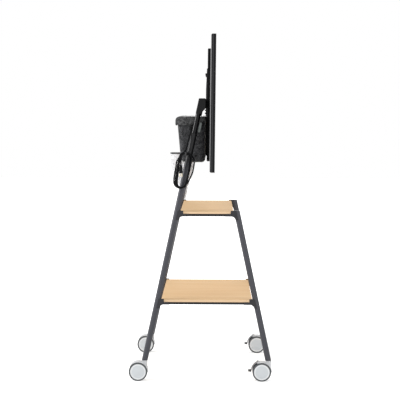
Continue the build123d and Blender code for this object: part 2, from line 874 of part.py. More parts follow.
def lid_hinge():
    """The fixed half of the lid's hinge: a leaf behind the bag, its knuckles and the pin."""
    length = 2 * hinge_knuckle * (hinge_count - 1) + hinge_knuckle
    leaf_low = hinge_z + lid_knuckle_radius + hinge_gap
    leaf_x = bag_rear_x - soft_gap - hinge_leaf / 2
    leaf = Pos(leaf_x, 0, leaf_low) * Box(
        hinge_leaf, length, hinge_leaf_height, align=(Align.CENTER, Align.CENTER, Align.MIN)
    )
    hinge = leaf + hinge_round(lid_pin_radius, 0, length)
    for place, y in enumerate(hinge_stations(hinge_count)):
        if place % 2 == 0:
            tab_x = lid_rear_x + lid_wall + hinge_gap
            tab = Box(
                leaf_x - tab_x + hinge_leaf / 2,
                hinge_knuckle,
                leaf_low + hinge_leaf - hinge_z,
                align=(Align.MIN, Align.CENTER, Align.MIN),
            )
            hinge = hinge + hinge_round(lid_knuckle_radius, y, hinge_knuckle) + Pos(tab_x, y, hinge_z) * tab
    return hinge


def bag_tray():
    """A pressed tray under the bag, turned up at the front, with an ear to each rear leg."""
    top = bag_bottom_z - soft_gap
    low = top - tray_thickness
    rear = bag_front_x - bag_bottom_depth + tray_inset
    front = bag_front_x + soft_gap + tray_thickness
    path = FilletPolyline(
        (rear, low + tray_thickness / 2),
        (front - tray_thickness / 2, low + tray_thickness / 2),
        (front - tray_thickness / 2, low + tray_front_rise),
        radius=tray_front_round,
    )
    sheet = trace(path, tray_thickness)
    tray = both_ways(upright(0, 0, 0) * sheet, bag_half_width - tray_inset)
    reach = leg_plane - tube_radius - seat_gap
    ear_x = rear_leg_x(low + tray_tab_height / 2)
    for side, _ in sides:
        shelf_length = reach - bag_half_width + tray_inset + tray_thickness
        shelf = Box(tray_tab_width, shelf_length, tray_thickness)
        shelf_y = side * (reach - shelf_length / 2)
        ear = Box(tray_tab_width, tray_thickness, tray_tab_height)
        ear_y = side * (reach - tray_thickness / 2)
        tray = tray + Pos(ear_x, shelf_y, low + tray_thickness / 2) * shelf
        tray = tray + Pos(ear_x, ear_y, low + tray_tab_height / 2) * ear
    return tray


def bag_clip(side):
    """A slotted catch beside the leg that keeps the bag from swinging."""
    lean = -leg_lean
    middle_z = clip_z + clip_length / 2
    x = rear_leg_x(middle_z) + tube_half_span + clip_leg_gap + clip_width / 2
    y = side * (bag_half_width + clip_bag_gap + clip_thickness / 2)
    sketch = Rot(0, 0, lean) * SlotOverall(clip_length, clip_width, rotation=90)
    plate = upright(x, y, middle_z) * both_ways(sketch, clip_thickness / 2)
    stud_length = clip_bag_gap + clip_thickness
    for way in (-1, 0):
        z = middle_z + way * clip_stud_spread
        stud_x = x + way * clip_stud_spread * lean_slope
        stud = Pos(stud_x, y + side * (clip_thickness - stud_length) / 2, z) * Rot(90, 0, 0)
        plate = plate + stud * Cylinder(clip_stud_radius, stud_length)
    return plate


def power_unit():
    x = bag_front_x - bag_bottom_depth / 2
    z = bag_bottom_z + bag_floor + seat_gap + power_unit_height / 2
    unit = Box(power_unit_depth, power_unit_width, power_unit_height)
    unit = fillet(unit.edges(), power_unit_round)
    return Pos(x, 0, z) * unit


# Mains lead, with its grommet, hook and plug

def cord_grommet():
    flange = Cylinder(grommet_radius, grommet_flange, align=(Align.CENTER, Align.CENTER, Align.MIN))
    neck = Cylinder(grommet_tip_radius, 2 * bag_wall, align=(Align.CENTER, Align.CENTER, Align.MAX))
    cone_length = grommet_length - grommet_flange
    cone = Cone(grommet_tip_radius + lead_radius / 2, grommet_tip_radius, cone_length)
    relief = Pos(0, 0, grommet_flange + cone_length / 2) * cone
    place = Pos(grommet_x, -bag_half_width - soft_gap, grommet_z) * Rot(90, 0, 0)
    return place * (flange + neck + relief)


def cord_path(points, name):
    """Straight runs and arcs, each arc as large as the two runs at its corner allow."""
    radii = []
    for before, here, after in zip(points, points[1:], points[2:]):
        first = Vector(here) - Vector(before)
        second = Vector(after) - Vector(here)
        half_turn = math.radians(first.get_angle(second)) / 2
        radii.append(0.45 * min(first.length, second.length) / math.tan(half_turn))
    print(name, "bend radii", " ".join(f"{radius:.0f}" for radius in radii))
    return FilletPolyline(*points, radius=radii)


def cord_tube(points, name):
    path = cord_path(points, name)
    section = Plane(origin=path @ 0, z_dir=path % 0) * Circle(lead_radius)
    tube = sweep(section, path=path)
    print(name, "length", round(path.length), "volume share", round(tube.volume / path.length / section.area, 4))
    return tube


def loop_point(middle, radius, turn, plane):
    """A point of a loop: round a middle, from the loop's rear side downwards and on to its front side."""
    angle = math.radians(turn + 180 - hank_lean)
    return (middle[0] + radius * math.cos(angle), -plane, middle[1] + radius * math.sin(angle))


def round_points(middle, radius, turns, plane):
    """Corners about a round, so that the runs between them touch it."""
    corner = radius / math.cos(math.radians(hank_half_corner))
    return [loop_point(middle, corner, turn, plane) for turn in turns]


def side_points(first, second, bow, turn, climb):
    """Points along a loop's side; each end is given by its middle, radius and plane."""
    points = []
    for share in hank_side_shares:
        x, z, radius, plane = [low + (high - low) * share for low, high in zip(first, second)]
        points.append(loop_point((x, z), radius + bow, turn, plane + share * climb))
    return points


def under_hook(radius, shift):
    """Middle of a round that rests on the hook, shifted to the front or the rear."""
    reach = radius - lead_radius - hook_gap - hook_radius
    return (hook_x + shift, hook_z - math.sqrt(reach**2 - shift**2))


def hank_route():
    """Loops side by side along the hook, each climbing to the next on its front side."""
    turns = [(2 * count + 1) * hank_half_corner for count in range(8)]
    points = [(hook_x + shift, -hank_first_plane, hook_z + rise) for shift, rise in hank_entry]
    for loop, drop in enumerate(hank_drops):
        plane = hank_first_plane + loop * hank_pitch
        rear_radius = hank_rear_radii[loop]
        rear = under_hook(rear_radius, hank_rear_shifts[loop])
        lower_radius = hank_lower_radii[loop]
        lower = (hook_x + hank_lower_shifts[loop], hook_z - drop)
        front_radius = hank_front_radii[loop]
        front = under_hook(front_radius, hank_front_shifts[loop])
        upper_end = (*rear, rear_radius, plane)
        lower_end = (*lower, lower_radius, plane)
        front_end = (*front, front_radius, plane)
        if loop > 0:
            points += round_points(rear, rear_radius, turns[6:], plane)
        points += side_points(upper_end, lower_end, hank_rear_bows[loop], 0, 0)
        points += round_points(lower, lower_radius, turns[:4], plane)
        points += side_points(lower_end, front_end, hank_front_bows[loop], 180, hank_pitch)
        points += round_points(front, front_radius, turns[4:6], plane + hank_pitch)
    plane += hank_pitch
    tail = under_hook(tail_radius, tail_shift)
    points += round_points(tail, tail_radius, [turn + hank_lean for turn in turns[6:]], plane)
    x, y, z = points[-1]
    return points + [(x, y, z - tail_drop)]


def lead_route():
    """From the grommet, round behind the leg, down its rear edge and on to the first loop."""
    tip_y = -bag_half_width - soft_gap - grommet_length
    x = grommet_x
    points = [(x, tip_y, grommet_z), (x, tip_y - lead_exit, grommet_z)]
    for turn in lead_bend_turns:
        _, y, z = points[-1]
        reach, drop = polar(lead_bend, turn)
        points.append((rear_leg_x(z) - tube_half_span - lead_leg_gap - lead_radius, y - reach, z - drop))
    start = Vector(hank_route()[0])
    onward = (Vector(hank_route()[1]) - start).normalized()
    join = start - onward * lead_join
    _, first_y, first_z = points[-1]
    for shift, drop in zip(lead_shift_shares, lead_drop_shares):
        z = first_z + drop * (join.Z - first_z)
        y = first_y + shift * (-lead_plane - first_y)
        points.append((rear_leg_x(z) - tube_half_span - lead_leg_gap - lead_radius, y, z))
    return points + [tuple(join), tuple(start)]


def report_gap(points, name):
    """Print the least gap between two stretches of the hank that aren't neighbours."""
    path = cord_path(points, name)
    count = round(path.length / lead_radius)
    places = [path @ (place / count) for place in range(count + 1)]
    apart = round(math.pi * tail_radius / lead_radius)
    least = min(
        (places[one] - places[other]).length for one in range(count + 1) for other in range(one + apart, count + 1)
    )
    print(name, "least gap to itself", round(least - 2 * lead_radius, 2))


def cord_hook():
    """A bent rod on a plate that is fixed to the leg."""
    z = hook_z
    x = hook_x
    face = leg_plane + tube_radius + seat_gap
    plate_x = rear_leg_x(z)
    plate_y = -face - hook_plate_thickness / 2
    plate = RectangleRounded(hook_plate_width, hook_plate_height, hook_radius)
    tongue = Pos((x - plate_x) / 2, 0) * SlotOverall(plate_x - x + 2 * hook_radius, 2 * hook_radius)
    base = upright(plate_x, plate_y, z) * both_ways(plate + tongue, hook_plate_thickness / 2)
    start = (x, plate_y, z)
    bend = (x, -face - hook_reach, z)
    tip = (x, -face - hook_reach, z + hook_tip_rise)
    path = FilletPolyline(start, bend, tip, radius=2 * hook_radius)
    rod = sweep(Plane(origin=path @ 0, z_dir=path % 0) * Circle(hook_radius), path=path)
    return base + rod


def power_plug():
    """A moulded plug that hangs at the end of the tail, with its pins downwards."""
    x, y, z = hank_route()[-1]
    shoulder = -plug_neck_length
    low = shoulder - plug_length
    neck = loft([Circle(plug_neck_radius), Pos(0, 0, shoulder) * Circle(plug_neck_radius + plug_round / 5)])
    body = loft(
        [
            Pos(0, 0, shoulder) * RectangleRounded(plug_width - plug_round, plug_depth - plug_round, plug_round / 2),
            Pos(0, 0, shoulder - plug_length / 4) * RectangleRounded(plug_width, plug_depth, plug_round),
            Pos(0, 0, low) * RectangleRounded(plug_width, plug_depth, plug_round),
        ],
        ruled=True,
    )
    plug = neck + body
    for way in (-1, 1):
        pin = Cylinder(pin_radius, pin_length, align=(Align.CENTER, Align.CENTER, Align.MAX))
        pin = chamfer(pin.edges().sort_by(Axis.Z)[0], pin_radius / 3)
        plug = plug + Pos(way * pin_spacing / 2, 0, low) * pin
    return Pos(x, y, z - seat_gap) * plug


# Cup

def cup_loft(inset, floor):
    y = leg_plane + tube_radius + cup_leg_gap + cup_half_depth
    sections = []
    for height, width, depth in zip(cup_height_shares, cup_width_shares, cup_depth_shares):
        z = cup_top_z - height * (cup_height - floor)
        ring = Ellipse(cup_half_width * width - inset, cup_half_depth * depth - inset)
        sections.append(Pos(cup_middle_x, y, z) * ring)
    return loft(sections)


def hanging_cup():
    return cup_loft(0, 0) - cup_loft(cup_wall, cup_floor)


def cup_rim():
    """A dark band round the cup's mouth, with an arm and a clamp that grips the leg's outer side."""
    y = leg_plane + tube_radius + cup_leg_gap + cup_half_depth
    inner = cup_half_width + seat_gap
    deep = cup_half_depth + seat_gap
    band = Ellipse(inner + rim_thickness, deep + rim_thickness)
    band = Pos(cup_middle_x, y, cup_top_z) * extrude(band, amount=-rim_height)
    collar = leg_rod(-1, 1, tube_radius + clamp_wall, cup_top_z - rim_height, cup_top_z)
    clamp_x = rear_leg_x(cup_top_z - rim_height / 2)
    grip = Pos(clamp_x, leg_plane - clamp_wrap, cup_top_z) * Box(
        2 * overrun, overrun, overrun, align=(Align.CENTER, Align.MIN, Align.CENTER)
    )
    arm = Pos(clamp_x, leg_plane, cup_top_z) * Box(
        clamp_arm_width, cup_leg_gap + tube_radius + cup_half_depth, rim_height, align=(Align.CENTER, Align.MIN, Align.MAX)
    )
    rim = band + (collar & grip) + arm
    rim = rim - leg_rod(-1, 1, tube_radius + seat_gap, cup_top_z - overrun, cup_top_z + overrun)
    mouth = Pos(cup_middle_x, y, cup_top_z + overrun) * extrude(Ellipse(inner, deep), amount=-2 * overrun)
    return rim - mouth


def write_casters():
    stems = []
    for end, end_name in ends:
        for side, side_name in sides:
            where = end_name + "_" + side_name
            stems.append(caster_stem(end, side))
            save(caster_hood(end, side), where + "_caster_hood")
            save(caster_axle(end, side), where + "_axle")
            for way, way_name in sides:
                outer = way == side
                save(caster_wheel(end, side, way), where + ("_outer_wheel" if outer else "_inner_wheel"))
    save(group(stems), "caster_stems")
    for side, side_name in sides:
        save(brake_lever(side), side_name + "_brake_lever")


def write_frame():
    plugs = []
    for end, end_name in ends:
        for side, side_name in sides:
            save(leg(end, side), end_name + "_leg_" + side_name)
            plugs.append(foot_plug(end, side))
    save(group(plugs), "foot_plugs")
    screws = []
    for top, level in ((upper_shelf_top, "upper"), (lower_shelf_top, "lower")):
        save(shelf_board(top), level + "_shelf_board")
        save(shelf_frame(top), level + "_shelf_frame")
        screws += [shelf_screw(top, x, y) for x, y in screw_places(top)]
        for end, end_name in ends:
            for side, side_name in sides:
                save(corner_bracket(top, end, side), level + "_" + end_name + "_bracket_" + side_name)
    save(group(screws), "shelf_screws")
    for side, side_name in sides:
        save(leg_head(side), "leg_head_" + side_name)
    save(leaned(crossbar()), "crossbar")


def write_display():
    for side, side_name in sides:
        save(mount_rail(side), "mount_rail_" + side_name)
    save(group(mount_bolts() + rail_knobs()), "rail_fasteners")
    save(display_housing(), "display_housing")
    save(display_panel(), "display_panel")
    save(display_glass(), "display_glass")
    save(rear_housing(), "rear_housing")


def write_bag():
    save(bag_body(), "bag_body")
    save(bag_lid(), "bag_lid")
    save(lid_hinge(), "lid_hinge")
    save(bag_tray(), "bag_tray")
    save(group([bag_clip(side) for side, _ in sides]), "bag_clips")
    save(power_unit(), "power_unit")
    save(hanging_cup(), "hanging_cup")
    save(cup_rim(), "cup_rim")


write_casters()
write_frame()
write_display()
write_bag()
save(cord_grommet(), "cord_grommet")
save(cord_hook(), "cord_hook")
save(cord_tube(lead_route(), "lead"), "power_lead")
save(cord_tube(hank_route(), "hank"), "cord_hank")
save(power_plug(), "power_plug")
report_gap(hank_route(), "hank")
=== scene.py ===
import math

import bpy
import bmesh
from mathutils import Matrix, Vector


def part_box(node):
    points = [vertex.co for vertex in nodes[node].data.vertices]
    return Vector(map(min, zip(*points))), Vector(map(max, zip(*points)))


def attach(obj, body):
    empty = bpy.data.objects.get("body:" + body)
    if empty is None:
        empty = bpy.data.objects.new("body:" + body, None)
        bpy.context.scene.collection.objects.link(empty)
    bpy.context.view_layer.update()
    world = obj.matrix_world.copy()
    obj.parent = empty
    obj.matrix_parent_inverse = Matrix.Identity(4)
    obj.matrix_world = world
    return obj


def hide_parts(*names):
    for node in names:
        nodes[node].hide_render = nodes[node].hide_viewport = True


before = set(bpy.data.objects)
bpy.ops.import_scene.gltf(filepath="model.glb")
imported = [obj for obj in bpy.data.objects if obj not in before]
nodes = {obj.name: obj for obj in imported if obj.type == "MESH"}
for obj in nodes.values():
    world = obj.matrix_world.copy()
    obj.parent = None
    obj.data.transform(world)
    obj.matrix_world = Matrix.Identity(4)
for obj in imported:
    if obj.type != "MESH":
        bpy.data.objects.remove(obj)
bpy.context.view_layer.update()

# Lengths are in metres, in the cart's own frame: X to its front, Y to its left, Z up.
mm = 0.001

# The cart's driving places
middle_x = 33 * mm
foot_half_span = 332 * mm
foot_z = 110 * mm
leg_radius = 16 * mm
leg_lean = math.radians(12.15)
# Painted shade darkens the rear legs above this height
leg_shade_z = 1150 * mm
caster_trail = 35 * mm
wheel_radius = 50 * mm
core_radius = 43 * mm
tyre_lap = 1.2 * mm
# Width of the wheels' painted highlight ring inside the tyre
highlight_ring_width = 9 * mm
pedal_top_z = 63 * mm

# Display
display_lean = math.radians(0.5)
mount_pivot_z = 1489 * mm
housing_front = middle_x + 16 * mm
# Depth of the painted highlight band round the rear housing's front edge
housing_highlight_band = 2.5 * mm
# Depth of the painted highlight band on the display's rear chamfer, then the place and half width of the
# display's strip of painted sheen
chamfer_highlight_band = 3 * mm
sheen_strip_depth = 12 * mm
sheen_strip_half_width = 2.4 * mm

# The photograph's viewpoint, with its angles in radians
camera_place = Vector((63.7, -7676.6, 1469.9)) * mm
camera_yaw = -0.0094
camera_pitch = 0.0684
camera_roll = 0.0031
camera_focal_share = 1363.1 / 400
camera_sensor = 36.0
camera_range = 60

# Felt bag and its lid; touch is how near a point counts as lying on a face
touch = 0.5 * mm
bag_wall = 7 * mm
bag_taper = 22 * mm
bag_corner = 24 * mm
bag_floor_round = 19 * mm
bag_hem_z = 1368 * mm
bag_belly = 2.4 * mm
bag_ripple = 0.8 * mm
bag_ripple_across = 23
bag_ripple_up = 9
bag_slices_across = 26
bag_slices_up = 10
bag_corner_segments = 6
bag_floor_segments = 5
bag_edge = 1.2 * mm
bag_edge_segments = 2
bag_shade_angle = 60
bag_upright_edge = 100 * mm
bag_seam_inset = 4 * mm
lid_wall = 4 * mm
lid_skirt_z = 1372 * mm
lid_front_z = 1398 * mm
lid_front_cut = 36 * mm
lid_rear_round = 22 * mm
lid_rear_segments = 7
lid_slices = 20
lid_edge = 1.6 * mm
lid_edge_segments = 3
lid_shade_angle = 45
lid_edge_angle = math.radians(30)
lid_seam_rise = 7 * mm
lid_seam_inset = 3 * mm
hinge_radius = 3 * mm
hinge_knuckle = 46 * mm
hinge_count = 7
knuckle_gap = 1 * mm
knuckle_sides = 20
stitch_length = 5 * mm
stitch_radius = 0.55 * mm
stitch_pitch = 9 * mm
stitch_sides = 6

# Mains lead
lead_radius = 3.75 * mm
grommet_place = Vector((-88, -385.4, 1356)) * mm + Vector((middle_x, 0, 0))
lead_exit = 20 * mm
lead_bend = 23 * mm
lead_bend_turns = (30, 60)
lead_leg_gap = 3 * mm
lead_shift_shares = (0.5, 1.0)
lead_drop_shares = (0.3, 0.7)
lead_join = 26 * mm
lead_plane = 448.5 * mm
cord_order = 3
cord_steps = 12
cord_ring = 4

# Hank of the lead on its hook. Its tables have one entry per loop and, like the tail's values, are in
# millimetres; angles named turn, lean or corner are in degrees.
hook_x = middle_x - 111.8 * mm
hook_z = 1215 * mm
hook_radius = 5 * mm
hook_gap = 1.3 * mm
hank_lean = 10
hank_half_corner = 22.5
hank_first_plane = 455 * mm
hank_pitch = 9 * mm
hank_entry = ((-22, 1), (-49, -24))
hank_front_radii = (44, 26, 27, 28.5)
hank_front_shifts = (-2, -3, -6, 3)
hank_rear_radii = (44, 26, 27, 26)
hank_rear_shifts = (-2, -5, -8.5, -6.5)
hank_lower_radii = (35, 25.5, 28, 26.5)
hank_lower_shifts = (-30.5, -21.7, -30, -25)
hank_drops = (142, 149, 148, 145)
hank_rear_bows = (1.5, 1.2, 1.5, 1)
hank_front_bows = (11, 3, 5, 2)
hank_side_shares = (0.33, 0.67)
tail_radius = 28.5
tail_shift = 2
tail_drop = 44

# Finishes
soft_edge = 0.4 * mm
grain_depth = 0.1 * mm
rough_swing = 0.06
# Softness of the edge of the wheels' painted highlight ring, and of the fade of the legs' painted shade
highlight_ring_fade = 2 * mm
leg_shade_fade = 50 * mm
pin_length = 18 * mm
ply_pitch = 3.4 * mm
felt_fibre_scale = 130.0
felt_cloud_scale = 55.0
felt_cloud_share = 0.3
felt_fleck_scale = 210.0
felt_fleck_gain = 2.2
felt_relief = 0.6 * mm

# Studio: the floor glows less close to the cart, so that its shadow stays
floor_size = 40
glow_start = 1.0
glow_end = 2.2
glow_least = 0.45
world_light = 0.72
lamps = (
    # name, place, height aimed at, size, power
    ("key_lamp", (-3.4, -2.4, 4.2), 1.0, 2.4, 80),
    ("rim_lamp", (-4.5, -0.9, 2.4), 1.2, 1.8, 130),
    ("fill_lamp", (3.4, -4.0, 2.2), 0.7, 2.8, 80),
    ("back_lamp", (0.6, 3.6, 3.6), 1.0, 2.4, 30),
)


# Helpers for modelling

def deselect_all():
    if bpy.context.object and bpy.context.object.mode != "OBJECT":
        bpy.ops.object.mode_set(mode="OBJECT")
    bpy.ops.object.select_all(action="DESELECT")


def take(piece):
    """Select one piece alone and make it the active one."""
    deselect_all()
    piece.select_set(True)
    bpy.context.view_layer.objects.active = piece
    return piece


def name_piece(name):
    piece = bpy.context.object
    piece.name = name
    piece.data.name = name
    return piece


def settle(piece):
    """Put the piece's place into its mesh, so its object sits at the origin."""
    take(piece)
    bpy.ops.object.transform_apply(location=True, rotation=True, scale=True)
    return piece


def apply_modifier(piece, kind, **settings):
    take(piece)
    modifier = piece.modifiers.new(kind.title(), kind)
    for key, value in settings.items():
        setattr(modifier, key, value)
    bpy.ops.object.modifier_apply(modifier=modifier.name)


def smooth(piece, angle):
    take(piece)
    bpy.ops.object.shade_smooth_by_angle(angle=math.radians(angle))


def join(name, pieces):
    deselect_all()
    for piece in pieces:
        piece.select_set(True)
    bpy.context.view_layer.objects.active = pieces[0]
    bpy.ops.object.join()
    return name_piece(name)


def dress(piece, material, body):
    piece.data.materials.clear()
    piece.data.materials.append(material)
    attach(piece, body)
    return piece


# Shader parts that several finishes share

def new_group(name, inputs, outputs):
    group = bpy.data.node_groups.new(name, "ShaderNodeTree")
    for title, kind, value in inputs:
        socket = group.interface.new_socket(title, in_out="INPUT", socket_type=kind)
        socket.default_value = value
    for title, kind in outputs:
        group.interface.new_socket(title, in_out="OUTPUT", socket_type=kind)
    return group, group.nodes.new("NodeGroupInput"), group.nodes.new("NodeGroupOutput")


def add_node(tree, kind, links=(), **settings):
    """A node with its settings and its input links, each given as (input, source socket or value)."""
    node = tree.nodes.new(kind)
    for key, value in settings.items():
        setattr(node, key, value)
    for socket, source in links:
        if isinstance(source, bpy.types.NodeSocket):
            tree.links.new(source, node.inputs[socket])
        else:
            node.inputs[socket].default_value = source
    return node


def noise(tree, place, scale, detail, **settings):
    links = [("Vector", place), ("Scale", scale), ("Detail", detail)]
    links += [(key.title(), value) for key, value in settings.items()]
    return add_node(tree, "ShaderNodeTexNoise", links).outputs["Fac"]


def ranged(tree, value, **ends):
    """A value taken from one range to another and held within it; an end not given is 0 or 1."""
    links = [("Value", value)] + [(key.replace("_", " ").title(), end) for key, end in ends.items()]
    return add_node(tree, "ShaderNodeMapRange", links).outputs["Result"]


def step_up(tree, value, edge, width=soft_edge):
    """0 below an edge and 1 above it, with a soft step."""
    return ranged(tree, value, from_min=edge - width, from_max=edge + width)


def maths(tree, operation, *values):
    return add_node(tree, "ShaderNodeMath", list(enumerate(values)), operation=operation).outputs[0]


def vector_maths(tree, operation, *values):
    node = add_node(tree, "ShaderNodeVectorMath", list(enumerate(values)), operation=operation)
    return node.outputs["Value" if operation in ("LENGTH", "DOT_PRODUCT") else "Vector"]


def object_place(tree):
    return add_node(tree, "ShaderNodeTexCoord").outputs["Object"]


def coordinate(tree, vector, axis):
    return add_node(tree, "ShaderNodeSeparateXYZ", [("Vector", vector)]).outputs[axis]


def height_of(tree):
    return coordinate(tree, object_place(tree), "Z")


def facing(tree, axis):
    """How squarely a surface faces along an axis, either way, from 0 to 1."""
    normal = add_node(tree, "ShaderNodeNewGeometry").outputs["Normal"]
    return maths(tree, "ABSOLUTE", coordinate(tree, normal, axis))


def shade_of(tree, value, dark, light):
    """A colour between two, by a value from 0 to 1."""
    mix = add_node(tree, "ShaderNodeMix", data_type="RGBA")
    tree.links.new(value, mix.inputs["Factor"])
    for socket, colour in (("A", dark), ("B", light)):
        entry = [item for item in mix.inputs if item.name == socket and item.type == "RGBA"][0]
        if isinstance(colour, bpy.types.NodeSocket):
            tree.links.new(colour, entry)
        else:
            entry.default_value = (*colour, 1)
    return [item for item in mix.outputs if item.type == "RGBA"][0]


def paint(tree, shader, colour):
    tree.links.new(colour, shader.inputs["Base Color"])


def bump_from(tree, shader, height, strength, distance):
    links = [("Height", height), ("Strength", strength), ("Distance", distance)]
    bump = add_node(tree, "ShaderNodeBump", links)
    tree.links.new(bump.outputs["Normal"], shader.inputs["Normal"])


def make_mottle():
    """Slow tone changes with fine grains over them: out come a tone and a height."""
    group, entry, leave = new_group(
        "mottle",
        [("Patch", "NodeSocketFloat", 8.0), ("Grain", "NodeSocketFloat", 1500.0)],
        [("Tone", "NodeSocketFloat"), ("Height", "NodeSocketFloat")],
    )
    place = object_place(group)
    patches = noise(group, place, entry.outputs["Patch"], 3.0)
    grains = noise(group, place, entry.outputs["Grain"], 2.0)
    middle = maths(group, "MULTIPLY", maths(group, "ADD", patches, grains), 0.5)
    group.links.new(middle, leave.inputs["Tone"])
    group.links.new(grains, leave.inputs["Height"])
    return group


mottle = make_mottle()


def new_finish(name):
    material = bpy.data.materials.new(name)
    material.use_nodes = True
    tree = material.node_tree
    return material, tree, tree.nodes["Principled BSDF"]


def mottled(tree, patch, grain):
    node = tree.nodes.new("ShaderNodeGroup")
    node.node_tree = mottle
    node.inputs["Patch"].default_value = patch
    node.inputs["Grain"].default_value = grain
    return node


def coat_parts(
    name, dark, light, roughness, patch=7.0, grain=1600.0, relief=0.15, metallic=0.0, shine=0.5
):
    """A finish whose tone varies a little, with a fine grain; its tone and colour come out too."""
    material, tree, shader = new_finish(name)
    pattern = mottled(tree, patch, grain)
    tone = pattern.outputs["Tone"]
    colour = shade_of(tree, tone, dark, light)
    paint(tree, shader, colour)
    rough = ranged(tree, tone, to_min=roughness - rough_swing, to_max=roughness + rough_swing)
    tree.links.new(rough, shader.inputs["Roughness"])
    shader.inputs["Metallic"].default_value = metallic
    shader.inputs["Specular IOR Level"].default_value = shine
    bump_from(tree, shader, pattern.outputs["Height"], relief, grain_depth)
    return material, tree, shader, tone, colour


def coated(*values, **settings):
    """Such a finish as it is: paint, moulded plastic or plated steel."""
    return coat_parts(*values, **settings)[0]


def distance_from_axis(tree, centre_x, centre_z):
    """Distance of a point from a line along Y."""
    moved = vector_maths(tree, "SUBTRACT", object_place(tree), (centre_x, 0, centre_z))
    return vector_maths(tree, "LENGTH", vector_maths(tree, "MULTIPLY", moved, (1, 0, 1)))


def wheel_finish(name, end):
    """A pale disc with a painted highlight ring inside its rim, and a dark tyre round it."""
    material, tree, shader, tone, pale = coat_parts(
        name, (0.48, 0.505, 0.525), (0.60, 0.63, 0.65), 0.42, grain=900.0
    )
    centre_x = middle_x + end * foot_half_span - caster_trail
    radius = distance_from_axis(tree, centre_x, wheel_radius)
    tread = step_up(tree, radius, core_radius - tyre_lap)
    # Painted highlight: a brighter ring just inside the tyre
    highlight_ring = step_up(tree, radius, core_radius - highlight_ring_width, highlight_ring_fade)
    disc_and_highlight = shade_of(tree, highlight_ring, pale, (0.68, 0.70, 0.71))
    rubber = shade_of(tree, tone, (0.045, 0.05, 0.055), (0.085, 0.09, 0.096))
    paint(tree, shader, shade_of(tree, tread, disc_and_highlight, rubber))
    tree.links.new(ranged(tree, tread, to_min=0.38, to_max=0.7), shader.inputs["Roughness"])
    return material


def lever_finish():
    """A grey shell with a black pedal at its foot."""
    material, tree, shader, _, grey = coat_parts(
        "brake_lever", (0.07, 0.07, 0.076), (0.13, 0.13, 0.138), 0.45
    )
    shell = step_up(tree, height_of(tree), pedal_top_z)
    paint(tree, shader, shade_of(tree, shell, (0.008, 0.008, 0.009), grey))
    return material


def stretched(tree, place, scale):
    return add_node(tree, "ShaderNodeMapping", [("Vector", place), ("Scale", scale)]).outputs[0]


def board_finish():
    """Pale veneer with its grain from rear to front, and plies at the edges."""
    material, tree, shader = new_finish("birch_board")
    place = object_place(tree)
    waves = noise(tree, stretched(tree, place, (1.6, 34.0, 34.0)), 1.0, 6.0, distortion=0.6)
    fibres = noise(tree, stretched(tree, place, (26.0, 900.0, 900.0)), 5.0, 3.0)
    tone = ranged(tree, maths(tree, "ADD", waves, fibres), from_min=0.65, from_max=1.35)
    veneer = shade_of(tree, tone, (0.625, 0.40, 0.198), (0.735, 0.52, 0.298))
    turns = maths(tree, "MULTIPLY", coordinate(tree, place, "Z"), 2 * math.pi / ply_pitch)
    plies = step_up(tree, maths(tree, "SINE", turns), 0.0, 0.5)
    edge = shade_of(tree, plies, (0.61, 0.42, 0.25), (0.78, 0.585, 0.39))
    paint(tree, shader, shade_of(tree, step_up(tree, facing(tree, "Z"), 0.6, 0.1), edge, veneer))
    shader.inputs["Roughness"].default_value = 0.6
    shader.inputs["Specular IOR Level"].default_value = 0.12
    bump_from(tree, shader, fibres, 0.12, grain_depth)
    return material


def felt_finish(name, dark, light):
    """Pressed felt: matted fibres with pale flecks."""
    material, tree, shader = new_finish(name)
    place = object_place(tree)
    fibres = noise(tree, place, felt_fibre_scale, 6.0, roughness=0.8, distortion=1.2)
    clouds = noise(tree, place, felt_cloud_scale, 3.0)
    tone = maths(tree, "ADD", fibres, maths(tree, "MULTIPLY", clouds, felt_cloud_share))
    cloth = shade_of(tree, ranged(tree, tone, from_min=0.55, from_max=0.78), dark, light)
    links = [("Vector", place), ("Scale", felt_fleck_scale), ("Randomness", 1.0)]
    specks = add_node(tree, "ShaderNodeTexVoronoi", links)
    fleck = ranged(tree, specks.outputs["Distance"], from_min=0.28, from_max=0.18)
    chosen = add_node(tree, "ShaderNodeSeparateColor", [("Color", specks.outputs["Color"])]).outputs["Red"]
    fleck = maths(tree, "MULTIPLY", fleck, step_up(tree, chosen, 0.6, 0.1))
    paint(tree, shader, shade_of(tree, fleck, cloth, tuple(felt_fleck_gain * part for part in light)))
    shader.inputs["Roughness"].default_value = 0.95
    shader.inputs["Specular IOR Level"].default_value = 0.2
    shader.inputs["Sheen Weight"].default_value = 0.6
    shader.inputs["Sheen Roughness"].default_value = 0.3
    bump_from(tree, shader, fibres, 0.6, felt_relief)
    return material


def display_depth(tree):
    """How far a point lies in front of the rear housing's front face, square to the leaned display."""
    moved = vector_maths(tree, "SUBTRACT", object_place(tree), (housing_front, 0, mount_pivot_z))
    forward = (math.cos(display_lean), 0, -math.sin(display_lean))
    return vector_maths(tree, "DOT_PRODUCT", moved, forward)


def housing_finish():
    """Black moulded plastic with a painted highlight: a pale band round its front edge."""
    material, tree, shader, _, black = coat_parts(
        "housing_plastic", (0.006, 0.006, 0.0065), (0.012, 0.012, 0.013), 0.6, grain=1800.0, shine=0.05
    )
    # Painted highlight: a pale band round the housing's front edge, where the edge catches the light
    highlight_band = step_up(tree, display_depth(tree), -housing_highlight_band)
    paint(tree, shader, shade_of(tree, highlight_band, black, (0.32, 0.32, 0.325)))
    return material


